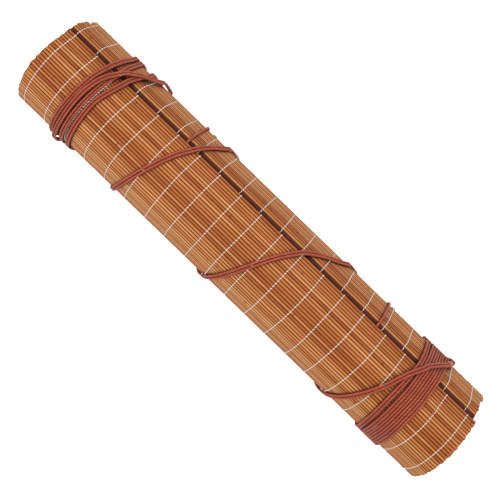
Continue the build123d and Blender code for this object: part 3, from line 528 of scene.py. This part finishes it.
def bamboo_material():
    """Split bamboo: each slat its own tone, long streaks, growth rings, and painted shade on the slats'
    sides and in gaps and corners.
    """
    material, nodes, links, shader = new_material("bamboo", 0.5)
    seed = attribute(nodes, "seed")
    apart = nodes.new("ShaderNodeCombineXYZ")
    for axis, distance in zip("XY", SEED_DISTANCES):
        links.new(math_node(nodes, links, "MULTIPLY", seed, distance), apart.inputs[axis])
    offset = apart.outputs[0]
    patches = noise(nodes, links, scaled_position(nodes, links, (14, 30, 30), offset), 1.0, 2.0)
    streaks = noise(nodes, links, scaled_position(nodes, links, (22, 2600, 2600), offset), 1.0, 4.0, 0.6)
    mixed = math_node(nodes, links, "MULTIPLY", attribute(nodes, "tone"), 0.5)
    mixed = math_node(nodes, links, "ADD", mixed, math_node(nodes, links, "MULTIPLY", patches, 0.36))
    mixed = math_node(nodes, links, "ADD", mixed, math_node(nodes, links, "MULTIPLY", streaks, 0.5))
    mixed = math_node(nodes, links, "SUBTRACT", mixed, 0.18)
    colour = ramp(nodes, links, mixed, (
        (0.12, (0.17, 0.03, 0.004)),
        (0.34, (0.32, 0.078, 0.012)),
        (0.5, (0.45, 0.145, 0.034)),
        (0.66, (0.58, 0.245, 0.083)),
        (0.9, (0.73, 0.41, 0.19)),
    ))
    ring, side = attribute(nodes, "ring"), attribute(nodes, "side")
    colour = mix_colour(nodes, links, "MULTIPLY", ring, colour, (0.62, 0.5, 0.42, 1))
    # Painted shade: the slats' sides in the gaps between slats, and the painted shadow under the
    # valance's free edge
    colour = mix_colour(nodes, links, "MULTIPLY", side, colour, (0.13, 0.03, 0.012, 1))
    # Painted shade in the gaps between slats and in corners, such as under the valance's free edge
    colour = painted_crevice_shade(nodes, links, colour, 0.01, (0.17, 0.03, 0.01))
    links.new(colour, shader.inputs["Base Color"])
    fibres = noise(nodes, links, scaled_position(nodes, links, (60, 5200, 5200), offset), 1.0, 3.0)
    bump(nodes, links, fibres, shader, 0.0002, 0.5)
    roughness = math_node(nodes, links, "MULTIPLY_ADD", streaks, 0.25, 0.5)
    links.new(roughness, shader.inputs["Roughness"])
    shader.inputs["Specular IOR Level"].default_value = 0.2
    return material


def cotton_material():
    """Cream cotton, brown with painted shade and dirt where the thread dips between two slats."""
    material, nodes, links, shader = new_material("cotton", 0.9)
    fine = noise(nodes, links, scaled_position(nodes, links, (900, 900, 900)), 1.0, 2.0)
    colour = ramp(nodes, links, fine, ((0.3, (0.84, 0.8, 0.72)), (0.7, (0.96, 0.94, 0.9))))
    dip_shade_and_dirt = attribute(nodes, "dip_shade_and_dirt")
    colour = mix_colour(nodes, links, "MULTIPLY", dip_shade_and_dirt, colour, (0.4, 0.16, 0.07, 1))
    links.new(colour, shader.inputs["Base Color"])
    fibres = noise(nodes, links, scaled_position(nodes, links, (5000, 5000, 5000)), 1.0, 2.0)
    bump(nodes, links, fibres, shader, 0.0001, 0.6)
    shader.inputs["Sheen Weight"].default_value = 0.2
    return material


def cord_material():
    """Twisted rust-coloured cord: the lay is in the mesh, the fibres in the bump, with painted shade in
    the creases between strands.
    """
    material, nodes, links, shader = new_material("cord", 0.8)
    blotches = noise(nodes, links, scaled_position(nodes, links, (160, 160, 160)), 1.0, 2.0)
    fine = noise(nodes, links, scaled_position(nodes, links, (2600, 2600, 2600)), 1.0, 3.0)
    both = math_node(nodes, links, "ADD", math_node(nodes, links, "MULTIPLY", blotches, 0.5), fine)
    colour = ramp(nodes, links, both, (
        (0.45, (0.26, 0.03, 0.008)),
        (0.75, (0.41, 0.058, 0.015)),
        (1.0, (0.58, 0.125, 0.038)),
    ))
    crease_shade = attribute(nodes, "crease_shade")
    # Painted shade in the creases between the strands
    colour = mix_colour(nodes, links, "MULTIPLY", crease_shade, colour, (0.22, 0.09, 0.07, 1))
    # Painted shade in the cord's crevices, where it lies on the blind and against itself
    colour = painted_crevice_shade(nodes, links, colour, 0.004, (0.34, 0.1, 0.07))
    links.new(colour, shader.inputs["Base Color"])
    bump(nodes, links, fine, shader, 0.00035, 0.9)
    shader.inputs["Sheen Weight"].default_value = 0.1
    shader.inputs["Sheen Roughness"].default_value = 0.5
    return material


def wood_material(name, stops, scale):
    """Stained wood, its grain stretched by a scale for each axis."""
    material, nodes, links, shader = new_material(name, 0.5)
    warp = noise(nodes, links, scaled_position(nodes, links, (3, 40, 40)), 1.0, 2.0)
    grain = noise(nodes, links, scaled_position(nodes, links, scale), 1.0, 5.0, 0.6)
    both = math_node(nodes, links, "ADD", math_node(nodes, links, "MULTIPLY", warp, 0.5), grain)
    both = math_node(nodes, links, "SUBTRACT", both, 0.25)
    links.new(ramp(nodes, links, both, stops), shader.inputs["Base Color"])
    bump(nodes, links, grain, shader, 0.0003, 0.4)
    shader.inputs["Specular IOR Level"].default_value = 0.3
    shader.inputs["Coat Weight"].default_value = 0.05
    shader.inputs["Coat Roughness"].default_value = 0.35
    return material


def steel_material():
    """Zinc plated sheet, brushed along X."""
    material, nodes, links, shader = new_material("steel", 0.35)
    shader.inputs["Metallic"].default_value = 1.0
    brush = noise(nodes, links, scaled_position(nodes, links, (60, 900, 900)), 1.0, 4.0)
    stops = ((0.3, (0.216, 0.216, 0.216)), (0.7, (0.3, 0.3, 0.3)))
    links.new(ramp(nodes, links, brush, stops), shader.inputs["Base Color"])
    links.new(math_node(nodes, links, "MULTIPLY", brush, 0.7), shader.inputs["Roughness"])
    bump(nodes, links, brush, shader, 0.00005, 0.4)
    return material


def plastic_material():
    material, nodes, links, shader = new_material("sheave_plastic", 0.45)
    mottle = noise(nodes, links, scaled_position(nodes, links, (400, 400, 400)), 1.0, 3.0)
    stops = ((0.3, (0.72, 0.69, 0.62)), (0.7, (0.8, 0.78, 0.71)))
    links.new(ramp(nodes, links, mottle, stops), shader.inputs["Base Color"])
    bump(nodes, links, mottle, shader, 0.00005, 0.3)
    return material


# Slats, tubes and cotton rows

def mesh_object(name, verts, faces, material, replaced, attributes=(), smooth=True):
    """Mesh piece on the blind's body, in place of CAD nodes."""
    mesh = bpy.data.meshes.new(name)
    mesh.from_pydata([tuple(v) for v in verts], [], faces)
    for key, values in attributes:
        layer = mesh.attributes.new(key, "FLOAT", "POINT")
        layer.data.foreach_set("value", np.asarray(values, dtype=np.float32))
    mesh.polygons.foreach_set("use_smooth", [smooth] * len(mesh.polygons))
    mesh.materials.append(material)
    made = bpy.data.objects.new(name, mesh)
    bpy.context.collection.objects.link(made)
    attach(made, "blind")
    if replaced:
        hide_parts(*replaced)
    return made


# Slat section: places across and up from its outer face, as shares, and how dark each is, the sides
# darkest with painted shade for the gaps between slats
SLAT_PROFILE = (
    (-1.0, -0.9, 1.0),
    (-0.85, -1.0, 0.3),
    (0.85, -1.0, 0.3),
    (1.0, -0.9, 1.0),
    (1.0, -0.5, 1.0),
    (0.93, -0.2, 1.0),
    (0.74, 0.0, 0.5),
    (0.5, 0.0, 0.0),
    (-0.5, 0.0, 0.0),
    (-0.74, 0.0, 0.5),
    (-0.93, -0.2, 1.0),
    (-1.0, -0.5, 1.0),
)
RINGED_FROM = -0.5


def painted_edge_shadow(distance):
    """Painted shadow on the slats in the corner under the valance's free edge."""
    gap = turn_ends[0] - VALANCE_OVERHANG - distance
    if gap <= -SLAT_PITCH:
        return 0.0
    return EDGE_DARKEST * min(1.0, max(0.0, 2 - gap / EDGE_SHADOW_REACH))


def slat_rows(first, final, segments, joint):
    """Places along a slat, in order, each with its share of a growth ring."""
    rows = [(first + (final - first) * k / segments, 0.0) for k in range(segments + 1)]
    if segments > HIDDEN_SEGMENTS and rng.random() < RINGED_SHARE:
        spacing = rng.uniform(*RING_SPACING)
        here = first + joint * spacing
        while here < final - RING_END_ROOM:
            rows += [(here + step, mark) for step, mark in RING_STEPS]
            here += spacing
        rows.sort(key=lambda row: row[0])
    return rows


def slats(name, path, side, stations, start_x, segments, replaced, longer=0.0, shade=None):
    """A run of slats, each a little different in width, tone, ends and straightness."""
    verts, faces, traits = [], [], []
    count = len(SLAT_PROFILE)
    tone = 0.5
    for distance in stations:
        (u, w), (hu, hw) = along(path, distance + rng.uniform(-SLAT_STRAY, SLAT_STRAY))
        nu, nw = side * hw, -side * hu
        half = SLAT_PITCH / 2 * rng.uniform(*SLAT_WIDTHS)
        thick = SLAT_THICKNESS * rng.uniform(*SLAT_THICKNESSES)
        sink = rng.uniform(0.0, SLAT_SINK)
        tone = TONE_KEPT * tone + (1 - TONE_KEPT) * rng.random()
        seed = rng.random()
        first = start_x + rng.uniform(*SLAT_ENDS)
        final = start_x + BLIND_WIDTH - rng.uniform(*SLAT_ENDS) + longer
        phase = rng.uniform(0, math.tau)
        bow = rng.uniform(0.0, SLAT_BOW)
        joint = rng.uniform(*RING_START)
        dim = shade(distance) if shade else 0.0
        rows = slat_rows(first, final, segments, joint)
        base = len(verts)
        for x, mark in rows:
            sway = bow * math.sin(phase + (x - first) * BOW_RATE)
            for a, b, dark in SLAT_PROFILE:
                across = a * half + sway
                up = b * thick - sink + (RING_HEIGHT * mark if b > RINGED_FROM else 0.0)
                verts.append(place(x, u + across * hu + up * nu, w + across * hw + up * nw))
                # Side darkness: painted shade of the gaps, or the painted shadow under the valance's
                # edge, whichever is darker
                traits.append((tone, seed, max(dark, dim), mark))
        for k in range(len(rows) - 1):
            a, b = base + k * count, base + (k + 1) * count
            for j in range(count):
                n = (j + 1) % count
                faces.append((a + j, a + n, b + n, b + j))
        for row, order in ((0, -1), (len(rows) - 1, 1)):
            cap = len(verts)
            verts += verts[base + row * count:base + (row + 1) * count]
            traits += [(END_TONE + (1 - END_TONE) * tone, seed, END_STAIN, 0.0)] * count
            faces.append(tuple(cap + j for j in range(count))[::order])
    attributes = zip(("tone", "seed", "side", "ring"), zip(*traits))
    return mesh_object(name, verts, faces, bamboo, replaced, attributes, smooth=False)


def tube_rings(points, radius, around, verts, faces, lobes=0, lay=1.0, depth=0.0, crease_shades=None):
    """Adds a tube along points, in millimetres, its section lobed and twisting."""
    points = np.asarray(points, dtype=float)
    tangents = np.gradient(points, axis=0)
    tangents /= np.linalg.norm(tangents, axis=1)[:, None]
    normal = np.cross(tangents[0], (1.0, 0.0, 0.0))
    if np.linalg.norm(normal) < 0.1:
        normal = np.cross(tangents[0], (0.0, 0.0, 1.0))
    normal /= np.linalg.norm(normal)
    gone = 0.0
    base = len(verts)
    for k, (point, tangent) in enumerate(zip(points, tangents)):
        if k:
            gone += float(np.linalg.norm(point - points[k - 1]))
            normal = normal - tangent * float(np.dot(normal, tangent))
            normal /= np.linalg.norm(normal)
        other = np.cross(tangent, normal)
        for j in range(around):
            angle = math.tau * j / around
            ridge = abs(math.cos(lobes * 0.5 * (angle - math.tau * gone / lay))) if lobes else 1.0
            reach = radius * (1 - depth * (1 - ridge) ** 2)
            spot = point + (normal * math.cos(angle) + other * math.sin(angle)) * reach
            spot[2] = max(spot[2], FLATTENED - ROLL_CENTRE.z)
            verts.append(place(*spot))
            # Painted shade for the creases between strands, fullest in the groove
            if crease_shades is not None:
                crease_shades.append((1 - ridge) ** 2)
        if k:
            a, b = base + (k - 1) * around, base + k * around
            for j in range(around):
                n = (j + 1) % around
                faces.append((a + j, a + n, b + n, b + j))
    faces.append(tuple(base + j for j in range(around))[::-1])
    top = base + (len(points) - 1) * around
    faces.append(tuple(top + j for j in range(around)))


def cotton_rows(name, path, side, stations, shift, replaced, fine_to=math.inf):
    """Cotton rows: over each slat and down between it and the next, on both faces.

    Past fine_to along the path, where turns hide them, the stitches are plainer.
    """
    verts, faces, shades = [], [], []
    pitch = THREAD_SPAN / (THREAD_ROWS - 1)
    for row in range(THREAD_ROWS):
        x_row = -THREAD_SPAN / 2 + row * pitch + shift
        phase = rng.uniform(0, math.tau)
        for outer, lean in ((True, THREAD_LEAN), (False, -THREAD_LEAN)):
            points = []
            for number, distance in enumerate(stations):
                x = x_row
                for reach, rate, start in THREAD_WANDER:
                    x += reach * math.sin(phase * start + number * rate)
                for share, height, shade in STITCH:
                    plain = not outer or distance > fine_to
                    if plain and 0 < abs(share) < 0.5:
                        continue
                    (u, w), (hu, hw) = along(path, distance + share * SLAT_PITCH)
                    nu, nw = side * hw, -side * hu
                    up = height if outer else -SLAT_THICKNESS - height
                    points.append((x + lean * share * 2, u + up * nu, w + up * nw))
                    # Painted shade and dirt of the thread at this point, full where it dips between slats
                    shades += [shade] * THREAD_SIDES
            tube_rings(points, THREAD_RADIUS, THREAD_SIDES, verts, faces)
    return mesh_object(name, verts, faces, cotton, replaced, [("dip_shade_and_dirt", shades)])


# Cords

OUTSIDE_OFFSET = THREAD_ROOM + CORD_DIAMETER / 2
LIFT_OFFSET = CORD_CLEARANCE + CORD_DIAMETER / 2
hull_low = VALANCE_RADIUS - BASE_HALF_FLAT + OUTSIDE_OFFSET
hull_top = VALANCE_RADIUS + OUTSIDE_OFFSET
hull_bend = BEND_RADIUS + OUTSIDE_OFFSET
edge_fillet = SLAT_THICKNESS + OUTSIDE_OFFSET
edge_centre = on_circle(free_edge, -SLAT_THICKNESS, LEAVE)
hull_bulge = BULGE_RADIUS + OUTSIDE_OFFSET
fall = tangent_angle(edge_centre, edge_fillet, bulge, hull_bulge, 1)
lower = tangent_angle(roll_right, hull_low, rail_low, hull_bend, -1)
rail_face_u = RAIL_CENTRE_U + hull_bend

# Line round the rolled blind that the tie's centre follows
hull = {
    "left": arc((0, 0), hull_top, 180, 135),
    "upper_left": arc((0, 0), hull_top, 135, 90),
    "top": arc((0, 0), hull_top, 90, LEAVE_ANGLE),
    "upper_right": line(on_circle((0, 0), hull_top, LEAVE), on_circle(edge_centre, edge_fillet, LEAVE)),
    "edge": arc(edge_centre, edge_fillet, LEAVE_ANGLE, math.degrees(fall)),
    "step": line(on_circle(edge_centre, edge_fillet, fall), on_circle(bulge, hull_bulge, fall)),
    "bulge": arc(bulge, hull_bulge, math.degrees(fall), LAND_ANGLE),
    "fall": line(on_circle(bulge, hull_bulge, LAND), on_circle(rail_round, hull_bend, LAND)),
    "corner": arc(rail_round, hull_bend, LAND_ANGLE, 0),
    "face": line((rail_face_u, RAIL_ROUND_W), (rail_face_u, RAIL_LOW_W)),
    "low_corner": arc(rail_low, hull_bend, 0, math.degrees(lower)),
    "under": line(on_circle(rail_low, hull_bend, lower), on_circle(roll_right, hull_low, lower)),
    "low_right": arc(roll_right, hull_low, math.degrees(lower), -90),
    "base": line((BASE_HALF_FLAT, -hull_low), (-BASE_HALF_FLAT, -hull_low)),
    "low_left": arc(roll_left, hull_low, 270, 225),
    "side_left": arc(roll_left, hull_low, 225, 180),
}

hull_path = list(hull.values())
hull_length = total(hull_path)
starts = {}
gone = 0
for key, piece in hull.items():
    starts[key] = gone
    gone += length_of(piece)
hull_stations = [starts["low_left"] - hull_length, starts["side_left"] - hull_length]
for key in ("left", "upper_left", "top", "upper_right", "edge", "face", "low_right"):
    hull_stations.append(starts[key])
winding_places = [starts["face"] - hull_length, starts["low_right"] - hull_length]
winding_xs = [OUTLET_X, OUTLET_X]
winding_lifts = [0, 0]
for number, row in enumerate(WINDING_X):
    shares = LIFT_SHARES.get(number, (0,) * len(row))
    for station, x, share in zip(hull_stations, row, shares):
        winding_places.append(number * hull_length + station)
        winding_xs.append(x)
        winding_lifts.append(share * CROSSING_LIFT)
winding_start = starts["low_corner"] - hull_length
winding_end = (len(WINDING_X) - 1) * hull_length + starts["under"] + END_REACH
winding_places[-1] = winding_end + SLAT_PITCH
winding_lifts[-1] = ACORN_RADIUS + CORD_CLEARANCE - OUTSIDE_OFFSET


def hermite(places, values, where):
    """Smooth curve through values at places, level at a turning value."""
    last = len(places) - 1
    index = 0
    while index < last - 1 and where > places[index + 1]:
        index += 1
    rates = []
    for k in (index, index + 1):
        before, after = max(k - 1, 0), min(k + 1, last)
        left_step = values[k] - values[before]
        right_step = values[after] - values[k]
        if before == k or after == k or left_step * right_step <= 0:
            rates.append(0)
            continue
        a = left_step / (places[k] - places[before])
        b = right_step / (places[after] - places[k])
        rates.append(2 * a * b / (a + b))
    width = places[index + 1] - places[index]
    t = (where - places[index]) / width
    rise = values[index + 1] - values[index]
    cubic = t * t * (3 - 2 * t)
    lead = t * (1 - t) * (1 - t) * rates[0] * width
    trail = t * t * (t - 1) * rates[1] * width
    return values[index] + rise * cubic + lead + trail


def winding_point(where, strand):
    """Point of one strand of the tie, at a distance along the windings."""
    (u, w), (hu, hw) = along(hull_path, where % hull_length)
    lift = hermite(winding_places, winding_lifts, where)
    x = hermite(winding_places, winding_xs, where)
    rise = hermite(winding_places, winding_xs, where + SLOPE_STEP)
    rise -= hermite(winding_places, winding_xs, where - SLOPE_STEP)
    x += strand * PAIR_SPACING / 2 * math.hypot(1, rise / (2 * SLOPE_STEP))
    return (x, u - hw * lift, w + hu * lift)


def section_run(path, x0, x1):
    """Points along a section path, the cord drifting along X from x0 to x1."""
    points = []
    full = total(path)
    count = max(2, int(full / ROUTE_STEP))
    for k in range(count + 1):
        share = k / count
        (u, w), _ = along(path, share * full)
        points.append((x0 + (x1 - x0) * share * share * (3 - 2 * share), u, w))
    return points


def bend(corner, before, after, radius, count=8):
    """Round corner from the direction before to the direction after."""
    corner, before, after = Vector(corner), Vector(before).normalized(), Vector(after).normalized()
    angle = before.angle(after)
    reach = radius * math.tan(angle / 2)
    centre = corner + (after - before).normalized() * radius / math.cos(angle / 2)
    start = corner - before * reach
    axis = before.cross(after).normalized()
    turns = [Matrix.Rotation(angle * k / count, 3, axis) for k in range(count + 1)]
    return [tuple(centre + turn @ (start - centre)) for turn in turns]


def fill(points):
    """The same points, with more of them on the long straight stretches."""
    full = [points[0]]
    for a, b in zip(points, points[1:]):
        count = max(1, int(math.dist(a, b) / ROUTE_STEP))
        for k in range(1, count + 1):
            full.append(tuple(p + (q - p) * k / count for p, q in zip(a, b)))
    return full


def cord_route(number):
    """One whole cord: knot, loop round the roll, rail hole, pulleys, outlet, tie."""
    x_rail, level = LIFT_X[number], LEVEL[number]
    strand = (-1, 1)[number]
    x_knot = x_rail + KNOT_SHIFT
    reach = MAT_TURN_RADIUS + LIFT_OFFSET
    low = reach - BASE_HALF_FLAT
    knot_end = (RAIL_INNER_U - KNOT_RUN, KNOT_LEVEL)
    du, dw = knot_end[0] - BASE_HALF_FLAT, knot_end[1]
    touch = math.atan2(dw, du) - math.acos(low / math.hypot(du, dw))
    touch_point = on_circle(roll_right, low, touch)
    turn_dir = (math.sin(touch), -math.cos(touch))
    corner = BEND_RADIUS + LIFT_OFFSET
    face_u = RAIL_CENTRE_U + corner
    points = [(x_knot, RAIL_OUTER_U, KNOT_LEVEL)]
    points += bend((x_knot, *knot_end), (0, -1, 0), (0, *turn_dir), KNOT_BEND_RADIUS)
    round_path = [
        line(knot_end, touch_point),
        arc(roll_right, low, math.degrees(touch), -90),
        line((BASE_HALF_FLAT, -low), (-BASE_HALF_FLAT, -low)),
        arc(roll_left, low, 270, 180),
        arc((0, 0), reach, 180, LEAVE_ANGLE),
    ]
    points += section_run(round_path, x_knot, x_rail)[KNOT_BEND_POINTS:]
    points += section_run(slope_down(LIFT_OFFSET), x_rail, x_rail)[::-1][1:]
    points += bend((x_rail, face_u, level), (0, 0, -1), (0, -1, 0), EXIT_RADIUS)
    near = SHEAVE_U - SHEAVE_CORD_RADIUS
    points += bend((x_rail, near, level), (0, -1, 0), (-1, 0, 0), SHEAVE_CORD_RADIUS)
    x_hole = OUTLET_X + strand * OUTLET_STRAND_SPACING / 2
    lean = (x_hole - OUTLET_X, RAIL_OUTER_U - SHEAVE_U, 0)
    points += bend((OUTLET_X, near, level), (-1, 0, 0), lean, SHEAVE_CORD_RADIUS)
    points.append((x_hole, RAIL_OUTER_U, level))
    points += bend((x_hole, rail_face_u, level), (0, 1, 0), (0, 0, -1), EXIT_RADIUS)
    points = fill(points)
    where = winding_start
    while where < winding_end:
        points.append(winding_point(where, strand))
        local = where % hull_length
        tight = any(starts[key] <= local < starts[key] + length_of(hull[key]) for key in TIGHT_PIECES)
        where += TIGHT_STEP if tight else WINDING_STEP
    points.append(winding_point(winding_end, strand))
    return points


def make_cords():
    """Both whole cords, twisted."""
    for number, name in enumerate(("cord_right", "cord_left")):
        verts, faces, crease_shades = [], [], []
        points = cord_route(number)
        radius = CORD_DIAMETER / 2
        tube_rings(points, radius, CORD_SIDES, verts, faces, CORD_LOBES, CORD_LAY, CORD_GROOVE, crease_shades)
        mesh_object(name + "_rope", verts, faces, cord_look, [name], [("crease_shade", crease_shades)])


def make_knots():
    """Overhand knots of the lift cords behind the rail."""
    verts, faces, crease_shades = [], [], []
    thin = CORD_DIAMETER / 2 * KNOT_CORD_SHARE
    size = KNOT_RADIUS - thin
    for x in LIFT_X:
        middle_u = RAIL_OUTER_U + KNOT_RADIUS * KNOT_CORD_SHARE
        centre = Vector((x + KNOT_SHIFT, middle_u, KNOT_LEVEL))
        points = []
        for k in range(KNOT_POINTS + 1):
            t = math.tau * k / KNOT_POINTS
            reach = (2 + math.cos(3 * t)) / 3
            across, along_w = reach * math.cos(2 * t), reach * math.sin(2 * t)
            local = Vector((across, math.sin(3 * t) * KNOT_HEIGHT_SHARE, along_w))
            points.append(tuple(centre + local * size))
        tube_rings(points, thin, KNOT_SIDES, verts, faces, KNOT_LOBES, KNOT_LAY, KNOT_GROOVE, crease_shades)
    mesh_object("cord_knots", verts, faces, cord_look, ["lift_cord_knots"], [("crease_shade", crease_shades)])


# The scene

make_camera()
cord_look = cord_material()
make_cords()
make_knots()

bamboo = bamboo_material()
cotton = cotton_material()
mat_start = MAT_SHIFT - BLIND_WIDTH / 2
bend_middle = length_of(mat_path[0]) + length_of(mat_path[1]) / 2
mat_stations = [bend_middle - BEND_PITCH - k * SLAT_PITCH for k in range(RAIL_SLATS)][::-1]
mat_stations.append(bend_middle)
where = bend_middle + BEND_PITCH
while where < turn_ends[-1] - SLAT_WIDTH / 2:
    mat_stations.append(where)
    where += SLAT_PITCH
rail_count = RAIL_SLATS + 1 + CORNER_SLATS
rail_stations, roll_stations = mat_stations[:rail_count], mat_stations[rail_count:]
corner_start = mat_start + CORNER_SHIFT
slats("mat_corner_bamboo", mat_path, 1, rail_stations, corner_start, SHOWN_SEGMENTS, ["mat_slats_rail"])
front = [s for s in roll_stations if s < turn_ends[0]]
front_node = ["mat_slats_front"]
# The front slats get the painted shadow under the valance's free edge
slats("mat_front_bamboo", mat_path, 1, front, mat_start, SHOWN_SEGMENTS, front_node, shade=painted_edge_shadow)
for number in range(len(turn_ends) - 1):
    group = [s for s in roll_stations if turn_ends[number] <= s < turn_ends[number + 1]]
    segments, longer = (SHOWN_SEGMENTS, TURN_1_LONGER) if number == 0 else (HIDDEN_SEGMENTS, 0.0)
    name, node = f"mat_turn_{number + 1}_bamboo", f"mat_slats_turn_{number + 1}"
    slats(name, mat_path, 1, group, mat_start, segments, [node], longer)
valance_count = int((total(valance_path) - SLAT_WIDTH) / SLAT_PITCH) + 1
valance_stations = [SLAT_WIDTH / 2 + k * SLAT_PITCH for k in range(valance_count)]
valance_start = VALANCE_SHIFT - BLIND_WIDTH / 2
valance_node = ["valance_slats"]
slats("valance_bamboo", valance_path, -1, valance_stations, valance_start, VALANCE_SEGMENTS, valance_node)
cotton_rows("mat_cotton", mat_path, 1, mat_stations, MAT_THREAD_SHIFT, ["mat_threads"], turn_ends[1])
cotton_rows("valance_cotton", valance_path, -1, valance_stations, 0, ["valance_threads"])

rail_stops = ((0.2, (0.05, 0.015, 0.005)), (0.5, (0.13, 0.042, 0.013)), (0.8, (0.23, 0.085, 0.028)))
acorn_stops = ((0.2, (0.04, 0.014, 0.006)), (0.8, (0.16, 0.06, 0.025)))
looks = {
    "rail_wood": wood_material("rail_wood", rail_stops, (9, 320, 320)),
    "acorn_wood": wood_material("acorn_wood", acorn_stops, (300, 40, 300)),
    "steel": steel_material(),
    "sheave_plastic": plastic_material(),
    "bamboo": bamboo,
    "cotton": cotton,
    "cord": cord_look,
}
slots = {part["node"]: part["material_slot"] for part in frame["record"]["subparts"]}
for name, item in frame["nodes"].items():
    item.data.materials.clear()
    item.data.materials.append(looks[slots[name]])

make_world()
make_floor()
area_light("key", *KEY)
area_light("fill", *FILL)
bpy.context.scene.view_settings.view_transform = "Standard"
